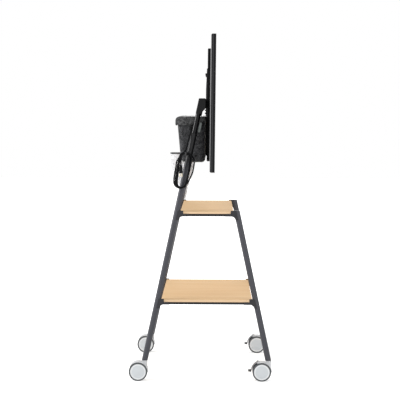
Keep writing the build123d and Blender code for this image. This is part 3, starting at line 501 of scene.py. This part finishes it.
def display_finish():
    """Black moulded plastic with a painted highlight as a pale band on its rear chamfer, and a strip of
    painted sheen round its edge.
    """
    material, tree, shader, _, black = coat_parts(
        "display_plastic", (0.003, 0.003, 0.0035), (0.007, 0.007, 0.008), 0.5, grain=2200.0, shine=0.1
    )
    depth = display_depth(tree)
    # Painted sheen: a lighter strip along the display's side
    start = step_up(tree, depth, sheen_strip_depth - sheen_strip_half_width)
    end = step_up(tree, depth, sheen_strip_depth + sheen_strip_half_width)
    sheen_strip = maths(tree, "SUBTRACT", start, end)
    with_sheen = shade_of(tree, sheen_strip, black, (0.035, 0.035, 0.038))
    # Painted highlight: a pale band on the rear chamfer, off the flat faces, where the chamfer catches the
    # light
    flat = maths(tree, "GREATER_THAN", facing(tree, "X"), 0.9)
    outside_highlight = maths(tree, "MAXIMUM", flat, step_up(tree, depth, chamfer_highlight_band))
    paint(tree, shader, shade_of(tree, outside_highlight, (0.19, 0.19, 0.195), with_sheen))
    return material


def leg_finish():
    """Grey paint with painted shade that darkens it towards the heads of the rear legs."""
    material, tree, shader, _, grey = coat_parts(
        "leg_paint", (0.039, 0.0395, 0.047), (0.060, 0.061, 0.072), 0.36, shine=0.25
    )
    # Painted shade: the paint turns near black above a height, on the rear legs' upper ends
    shaded_upper = step_up(tree, height_of(tree), leg_shade_z, leg_shade_fade)
    paint(tree, shader, shade_of(tree, shaded_upper, grey, (0.007, 0.007, 0.008)))
    return material


def cup_finish():
    """Milky plastic that lets some light through."""
    material, _, shader, _, _ = coat_parts(
        "cup_plastic", (0.82, 0.82, 0.83), (0.90, 0.90, 0.91), 0.4, grain=800.0, relief=0.05
    )
    shader.inputs["Transmission Weight"].default_value = 0.55
    shader.inputs["IOR"].default_value = 1.3
    return material


def plug_finish(low_z):
    """A black moulded plug with bright pins."""
    material, tree, shader, _, black = coat_parts(
        "plug_black", (0.003, 0.003, 0.0035), (0.008, 0.008, 0.009), 0.5, shine=0.1
    )
    moulded = step_up(tree, height_of(tree), low_z)
    paint(tree, shader, shade_of(tree, moulded, (0.62, 0.56, 0.42), black))
    tree.links.new(ranged(tree, moulded, to_min=1.0, to_max=0.0), shader.inputs["Metallic"])
    return material


def cover_glass_finish():
    """Black cover glass, dead black behind a clear coat."""
    material, _, shader, _, _ = coat_parts(
        "cover_glass", (0.002, 0.002, 0.0025), (0.006, 0.006, 0.007), 0.12, relief=0.0, shine=0.2
    )
    shader.inputs["Coat Weight"].default_value = 0.2
    shader.inputs["Coat Roughness"].default_value = 0.03
    return material


leg_paint = leg_finish()
frame_paint = coated("frame_paint", (0.014, 0.014, 0.016), (0.026, 0.026, 0.029), 0.45, shine=0.2)
bracket_paint = coated(
    "bracket_paint", (0.020, 0.020, 0.023), (0.033, 0.033, 0.037), 0.45, grain=1200.0, shine=0.2
)
head_paint = coated("head_paint", (0.003, 0.003, 0.0035), (0.007, 0.007, 0.008), 0.2, grain=1200.0, shine=0.2)
bar_paint = coated("bar_paint", (0.007, 0.007, 0.008), (0.013, 0.013, 0.014), 0.48, shine=0.2)
tray_paint = coated("tray_paint", (0.50, 0.50, 0.46), (0.66, 0.66, 0.61), 0.45, shine=0.4)
display_plastic = display_finish()
housing_plastic = housing_finish()
panel_plastic = coated("panel_plastic", (0.08, 0.08, 0.085), (0.13, 0.13, 0.135), 0.5)
hood_plastic = coated("hood_plastic", (0.42, 0.43, 0.445), (0.60, 0.61, 0.625), 0.4, grain=1100.0)
cup_plastic = cup_finish()
dark_plastic = coated("dark_plastic", (0.008, 0.008, 0.009), (0.020, 0.020, 0.022), 0.5, shine=0.3)
clip_plastic = coated("clip_plastic", (0.17, 0.195, 0.186), (0.25, 0.275, 0.266), 0.4, shine=0.3)
sheath = coated(
    "sheath", (0.002, 0.002, 0.0025), (0.006, 0.006, 0.007), 0.5, patch=30.0, grain=700.0, shine=0.05
)
hinge_steel = coated("hinge_steel", (0.06, 0.06, 0.063), (0.11, 0.11, 0.114), 0.4, relief=0.05, metallic=1.0)
bright_steel = coated(
    "bright_steel", (0.42, 0.43, 0.44), (0.62, 0.63, 0.64), 0.3, relief=0.05, metallic=1.0
)
board_veneer = board_finish()
bag_felt = felt_finish("bag_felt", (0.004, 0.004, 0.0045), (0.100, 0.101, 0.106))
# The lid's felt is the bag's felt in lighter tones: painted light for the brighter light that falls on the
# lid
lid_felt_painted_lighter = felt_finish("lid_felt_painted_lighter", (0.008, 0.008, 0.0085), (0.130, 0.131, 0.133))
thread = coated("thread", (0.035, 0.035, 0.037), (0.06, 0.06, 0.063), 0.7, patch=60.0, shine=0.2)
glass = cover_glass_finish()
lever_plastic = lever_finish()
plug_plastic = plug_finish(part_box("power_plug")[0].z + pin_length)
wheel_plastic = {"rear": wheel_finish("rear_wheel", -1), "front": wheel_finish("front_wheel", 1)}


def finish_for(node):
    """The material of a CAD node; small black fittings take the last one."""
    if "wheel" in node:
        return wheel_plastic[node.split("_")[0]]
    for part, material in (
        ("caster_hood", hood_plastic),
        ("axle", bright_steel),
        ("caster_stems", bright_steel),
        ("brake_lever", lever_plastic),
        ("leg_head", head_paint),
        ("bracket", bracket_paint),
        ("_leg_", leg_paint),
        ("shelf_board", board_veneer),
        ("shelf_frame", frame_paint),
        ("shelf_screws", bright_steel),
        ("crossbar", bar_paint),
        ("mount_rail", bar_paint),
        ("display_housing", display_plastic),
        ("display_glass", glass),
        ("display_panel", panel_plastic),
        ("rear_housing", housing_plastic),
        ("bag_tray", tray_paint),
        ("bag_clips", clip_plastic),
        ("lid_hinge", hinge_steel),
        ("hanging_cup", cup_plastic),
        ("power_plug", plug_plastic),
    ):
        if part in node:
            return material
    return dark_plastic


for node_name, node in nodes.items():
    node.data.materials.clear()
    node.data.materials.append(finish_for(node_name))


# Felt bag: its shell, its lid and the thread that sews them

def drop_faces(piece, test):
    """Delete the faces that pass a test of their middle and normal."""
    take(piece)
    bpy.ops.object.mode_set(mode="EDIT")
    mesh = bmesh.from_edit_mesh(piece.data)
    for face in mesh.faces:
        face.select_set(test(face.calc_center_median(), face.normal))
    bmesh.update_edit_mesh(piece.data)
    bpy.ops.mesh.delete(type="FACE")
    bpy.ops.object.mode_set(mode="OBJECT")


def select_edges(piece, test):
    """Enter edit mode with only the edges selected whose two ends pass a test."""
    take(piece)
    bpy.ops.object.mode_set(mode="EDIT")
    bpy.ops.mesh.select_mode(type="EDGE")
    bpy.ops.mesh.select_all(action="DESELECT")
    mesh = bmesh.from_edit_mesh(piece.data)
    for edge in mesh.edges:
        edge.select_set(test(edge.verts[0].co, edge.verts[1].co))
    bmesh.update_edit_mesh(piece.data)


def round_edges(piece, test, radius, segments):
    select_edges(piece, test)
    bpy.ops.mesh.bevel(offset=radius, segments=segments, profile=0.5, affect="EDGES")
    bpy.ops.object.mode_set(mode="OBJECT")


def slice_mesh(piece, axis, low, high, count):
    """Cut the piece into even slices, so its walls can bend."""
    take(piece)
    bpy.ops.object.mode_set(mode="EDIT")
    for place in range(1, count):
        bpy.ops.mesh.select_all(action="SELECT")
        point = [0, 0, 0]
        point[axis] = low + (high - low) * place / count
        normal = [0, 0, 0]
        normal[axis] = 1
        bpy.ops.mesh.bisect(plane_co=point, plane_no=normal, use_fill=False)
    bpy.ops.object.mode_set(mode="OBJECT")


def add_block(name, low, high):
    centre = [(a + b) / 2 for a, b in zip(low, high)]
    size = [b - a for a, b in zip(low, high)]
    bpy.ops.mesh.primitive_cube_add(size=1, location=centre)
    piece = name_piece(name)
    piece.scale = size
    return settle(piece)


def both(a, b, axis, value):
    """Whether both ends of an edge lie at a value along an axis."""
    return abs(a[axis] - value) < touch and abs(b[axis] - value) < touch


def make_bag_shell():
    """An open bag whose long rear wall bellies out a little between firm corners."""
    low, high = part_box("bag_body")
    shell = add_block("bag_shell", low, high)
    for vertex in shell.data.vertices:
        if vertex.co.z < low.z + touch and vertex.co.x < low.x + touch:
            vertex.co.x += bag_taper
    round_edges(shell, lambda a, b: abs(a.z - b.z) > bag_upright_edge, bag_corner, bag_corner_segments)
    round_edges(shell, lambda a, b: both(a, b, 2, low.z), bag_floor_round, bag_floor_segments)
    drop_faces(shell, lambda middle, normal: middle.z > high.z - touch)
    slice_mesh(shell, 1, low.y, high.y, bag_slices_across)
    slice_mesh(shell, 2, low.z, high.z, bag_slices_up)
    half = (high.y - low.y) / 2
    for vertex in shell.data.vertices:
        along = 1 - (vertex.co.y / half) ** 4
        rise = (vertex.co.z - low.z) / (bag_hem_z - low.z)
        on_rear_wall = vertex.co.x < (low.x + high.x) / 2 and abs(vertex.co.y) < half - bag_corner
        if 0 < rise < 1 and on_rear_wall:
            wave = math.sin(vertex.co.y * bag_ripple_across + vertex.co.z * bag_ripple_up)
            belly = bag_belly * along * math.sin(math.pi * rise)
            ripple = bag_ripple * along * math.sin(math.pi * rise) * wave
            vertex.co.x -= belly + ripple
    apply_modifier(shell, "SOLIDIFY", thickness=bag_wall, offset=-1.0, use_rim=True)
    apply_modifier(shell, "BEVEL", width=bag_edge, segments=bag_edge_segments, limit_method="ANGLE")
    apply_modifier(shell, "SUBSURF", levels=1, render_levels=1)
    smooth(shell, bag_shade_angle)
    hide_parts("bag_body")
    return dress(shell, bag_felt, "frame")


def make_lid():
    """The felt lid: a shallow cover with a rounded rear corner, open below and towards the rails."""
    low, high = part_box("bag_lid")
    low.z = lid_skirt_z
    cover = add_block("lid_cover", low, high)
    round_edges(
        cover, lambda a, b: both(a, b, 2, high.z) and both(a, b, 0, low.x), lid_rear_round, lid_rear_segments
    )
    take(cover)
    bpy.ops.object.mode_set(mode="EDIT")
    bpy.ops.mesh.select_all(action="SELECT")
    slope = Vector((lid_front_z - lid_skirt_z, 0, -lid_front_cut)).normalized()
    corner = (high.x, 0, lid_front_z)
    bpy.ops.mesh.bisect(plane_co=corner, plane_no=slope, use_fill=True, clear_outer=True)
    bpy.ops.object.mode_set(mode="OBJECT")
    drop_faces(cover, lambda middle, normal: normal.z < -0.3 or normal.x > 0.9)
    slice_mesh(cover, 1, low.y, high.y, lid_slices)
    apply_modifier(cover, "SOLIDIFY", thickness=lid_wall, offset=-1.0, use_rim=True)
    apply_modifier(
        cover, "BEVEL", width=lid_edge, segments=lid_edge_segments, limit_method="ANGLE",
        angle_limit=lid_edge_angle,
    )
    smooth(cover, lid_shade_angle)
    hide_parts("bag_lid")
    return dress(cover, lid_felt_painted_lighter, "lid")


def lid_knuckles():
    """The lid's own knuckles, every other one along the hinge; the pin is a CAD node's."""
    low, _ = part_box("bag_lid")
    hinge_x = low.x + hinge_radius
    hinge_z = lid_skirt_z - hinge_radius / 2
    pieces = []
    for place in range(1, hinge_count, 2):
        y = (place - (hinge_count - 1) / 2) * 2 * hinge_knuckle
        bpy.ops.mesh.primitive_cylinder_add(
            vertices=knuckle_sides,
            radius=hinge_radius,
            depth=hinge_knuckle - knuckle_gap,
            location=(hinge_x, y, hinge_z),
            rotation=(math.pi / 2, 0, 0),
        )
        pieces.append(settle(name_piece("lid_knuckle")))
    return join("lid_knuckles", pieces)


def sew(name, rows, body):
    """Threads laid at an even pitch along rows, each row a list of corners."""
    bpy.ops.mesh.primitive_cylinder_add(vertices=stitch_sides, radius=stitch_radius, depth=stitch_length)
    pattern = name_piece("stitch")
    copies = []
    for row in rows:
        for start, end in zip(row, row[1:]):
            run = end - start
            count = max(1, round(run.length / stitch_pitch))
            turn = run.to_track_quat("Z", "Y").to_matrix().to_4x4()
            for place in range(count):
                middle = start + run * ((place + 0.5) / count)
                copy = pattern.copy()
                copy.data = pattern.data.copy()
                bpy.context.scene.collection.objects.link(copy)
                copy.data.transform(Matrix.Translation(middle) @ turn)
                copies.append(copy)
    bpy.data.objects.remove(pattern)
    return dress(join(name, copies), thread, body)


def lid_seams():
    low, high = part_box("bag_lid")
    z = lid_skirt_z + lid_seam_rise
    out = stitch_radius / 2
    front = high.x - lid_front_cut
    rear, right, left = low.x - out, low.y - out, high.y + out
    return [
        [Vector((front, right, z)), Vector((low.x + lid_seam_inset, right, z))],
        [Vector((rear, low.y + lid_seam_inset, z)), Vector((rear, high.y - lid_seam_inset, z))],
        [Vector((front, left, z)), Vector((low.x + lid_seam_inset, left, z))],
    ]


def bag_seams():
    low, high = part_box("bag_body")
    out = stitch_radius / 2
    inset = bag_corner + bag_seam_inset
    low_z = low.z + bag_floor_round + bag_seam_inset
    rows = []
    for side in (low.y - out, high.y + out):
        for x in (low.x + inset, high.x - inset):
            lower_x = x + (bag_taper if x < (low.x + high.x) / 2 else 0)
            rows.append([Vector((x, side, bag_hem_z)), Vector((lower_x, side, low_z))])
    return rows


make_bag_shell()
make_lid()
dress(lid_knuckles(), hinge_steel, "lid")
sew("lid_stitches", lid_seams(), "lid")
sew("bag_stitches", bag_seams(), "frame")


# Mains lead: the routes repeat the ones that the solids follow

def polar(radius, angle):
    return radius * math.cos(math.radians(angle)), radius * math.sin(math.radians(angle))


def leg_offset(z):
    return foot_half_span - (z - foot_z) * math.tan(leg_lean)


def behind_leg(z):
    """Where the lead runs down behind the rear leg's edge."""
    half_span = leg_radius / math.cos(leg_lean)
    return middle_x - leg_offset(z) - half_span - lead_leg_gap - lead_radius


def loop_point(middle, radius, turn, plane):
    """A point of a loop: round a middle, from the loop's rear side downwards and on to its front side."""
    x, z = polar(radius, turn + 180 - hank_lean)
    return Vector((middle[0] + x, -plane, middle[1] + z))


def round_points(middle, radius, turns, plane):
    corner = radius / math.cos(math.radians(hank_half_corner))
    return [loop_point(middle, corner, turn, plane) for turn in turns]


def side_points(first, second, bow, turn, climb):
    """Points along a loop's side; each end is given by its middle, radius and plane."""
    points = []
    for share in hank_side_shares:
        x, z, radius, plane = [low + (high - low) * share for low, high in zip(first, second)]
        points.append(loop_point((x, z), radius + bow, turn, plane + share * climb))
    return points


def under_hook(radius, shift):
    """Middle of a round that rests on the hook, shifted to the front or the rear."""
    reach = radius - lead_radius - hook_gap - hook_radius
    return hook_x + shift, hook_z - math.sqrt(reach**2 - shift**2)


def hank_route():
    """Loops side by side along the hook, each climbing to the next on its front side."""
    turns = [(2 * count + 1) * hank_half_corner for count in range(8)]
    points = [Vector((hook_x + x * mm, -hank_first_plane, hook_z + z * mm)) for x, z in hank_entry]
    for loop, drop in enumerate(hank_drops):
        plane = hank_first_plane + loop * hank_pitch
        rear_radius = hank_rear_radii[loop] * mm
        rear = under_hook(rear_radius, hank_rear_shifts[loop] * mm)
        lower_radius = hank_lower_radii[loop] * mm
        lower = (hook_x + hank_lower_shifts[loop] * mm, hook_z - drop * mm)
        front_radius = hank_front_radii[loop] * mm
        front = under_hook(front_radius, hank_front_shifts[loop] * mm)
        if loop > 0:
            points += round_points(rear, rear_radius, turns[6:], plane)
        lower_end = (*lower, lower_radius, plane)
        points += side_points((*rear, rear_radius, plane), lower_end, hank_rear_bows[loop] * mm, 0, 0)
        points += round_points(lower, lower_radius, turns[:4], plane)
        points += side_points(
            lower_end, (*front, front_radius, plane), hank_front_bows[loop] * mm, 180, hank_pitch
        )
        points += round_points(front, front_radius, turns[4:6], plane + hank_pitch)
    tail = under_hook(tail_radius * mm, tail_shift * mm)
    upright_turns = [turn + hank_lean for turn in turns[6:]]
    points += round_points(tail, tail_radius * mm, upright_turns, plane + hank_pitch)
    return points + [points[-1] - Vector((0, 0, tail_drop * mm))]


def lead_route(hank_start, hank_next):
    """From the grommet, round behind the leg, down its rear edge and on to the first loop."""
    points = [grommet_place, grommet_place - Vector((0, lead_exit, 0))]
    for turn in lead_bend_turns:
        out, drop = polar(lead_bend, turn)
        before = points[-1]
        points.append(Vector((behind_leg(before.z), before.y - out, before.z - drop)))
    join = hank_start - (hank_next - hank_start).normalized() * lead_join
    first = points[-1]
    for shift, drop in zip(lead_shift_shares, lead_drop_shares):
        z = first.z + drop * (join.z - first.z)
        points.append(Vector((behind_leg(z), first.y + shift * (-lead_plane - first.y), z)))
    return points + [join, hank_start]


def cord_curve(name, points):
    curve = bpy.data.curves.new(name, "CURVE")
    curve.dimensions = "3D"
    spline = curve.splines.new("NURBS")
    spline.points.add(len(points) - 1)
    for entry, point in zip(spline.points, points):
        entry.co = (*point, 1)
    spline.order_u = cord_order
    spline.use_endpoint_u = True
    curve.resolution_u = cord_steps
    curve.bevel_depth = lead_radius
    curve.bevel_resolution = cord_ring
    curve.use_fill_caps = True
    piece = bpy.data.objects.new(name, curve)
    bpy.context.scene.collection.objects.link(piece)
    curve.materials.append(sheath)
    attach(piece, "frame")
    return piece


hank_points = hank_route()
lead_points = lead_route(hank_points[0], hank_points[1])
lead = cord_curve("lead_to_hook", lead_points)
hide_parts("power_lead")
hank = cord_curve("hank_of_lead", hank_points)
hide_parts("cord_hank")


# Floor, backdrop, lights and camera

def look_along(yaw, pitch, roll):
    """A camera's turn from its yaw, its pitch downwards and its roll."""
    forward = Vector((math.sin(yaw) * math.cos(pitch), math.cos(yaw) * math.cos(pitch), -math.sin(pitch)))
    right = forward.cross(Vector((0, 0, 1))).normalized()
    up = right.cross(forward)
    turned_right = math.cos(roll) * right + math.sin(roll) * up
    turned_up = math.cos(roll) * up - math.sin(roll) * right
    return Matrix((turned_right, turned_up, -forward)).transposed()


def add_camera():
    camera = bpy.data.objects.new("camera", bpy.data.cameras.new("camera"))
    bpy.context.scene.collection.objects.link(camera)
    camera.data.sensor_width = camera_sensor
    camera.data.lens = camera_sensor * camera_focal_share
    camera.data.clip_end = camera_range
    turn = look_along(camera_yaw, camera_pitch, camera_roll)
    camera.matrix_world = Matrix.Translation(camera_place) @ turn.to_4x4()
    bpy.context.scene.camera = camera


def camera_sees(tree):
    """1 where the camera, a mirror-like surface or clear glass looks straight at the surface."""
    path = tree.nodes.new("ShaderNodeLightPath")
    seen = maths(tree, "MAXIMUM", path.outputs["Is Camera Ray"], path.outputs["Is Glossy Ray"])
    return maths(tree, "MAXIMUM", seen, path.outputs["Is Transmission Ray"])


def add_floor():
    bpy.ops.mesh.primitive_plane_add(size=floor_size)
    floor = name_piece("studio_floor")
    material, tree, shader = new_finish("studio_floor")
    shader.inputs["Base Color"].default_value = (0.82, 0.82, 0.82, 1)
    shader.inputs["Roughness"].default_value = 0.9
    shader.inputs["Specular IOR Level"].default_value = 0.1
    shader.inputs["Emission Color"].default_value = (1, 1, 1, 1)
    distance = vector_maths(tree, "LENGTH", object_place(tree))
    level = ranged(tree, distance, from_min=glow_start, from_max=glow_end, to_min=glow_least)
    glow = maths(tree, "MULTIPLY", camera_sees(tree), level)
    tree.links.new(glow, shader.inputs["Emission Strength"])
    floor.data.materials.append(material)


def add_world():
    world = bpy.data.worlds.new("studio")
    world.use_nodes = True
    tree = world.node_tree
    background = tree.nodes["Background"]
    strength = ranged(tree, camera_sees(tree), to_min=world_light)
    background.inputs["Color"].default_value = (1, 1, 1, 1)
    tree.links.new(strength, background.inputs["Strength"])
    bpy.context.scene.world = world


def add_lamp(name, place, aim_height, size, power):
    """A round lamp that looks at the cart's middle at a height."""
    lamp = bpy.data.lights.new(name, "AREA")
    lamp.shape = "DISK"
    lamp.size = size
    lamp.energy = power
    holder = bpy.data.objects.new(name, lamp)
    bpy.context.scene.collection.objects.link(holder)
    holder.location = place
    aim = Vector((0, 0, aim_height)) - Vector(place)
    holder.rotation_euler = aim.to_track_quat("-Z", "Y").to_euler()


deselect_all()
add_camera()
add_floor()
add_world()
for lamp_values in lamps:
    add_lamp(*lamp_values)
bpy.context.scene.view_settings.view_transform = "Standard"
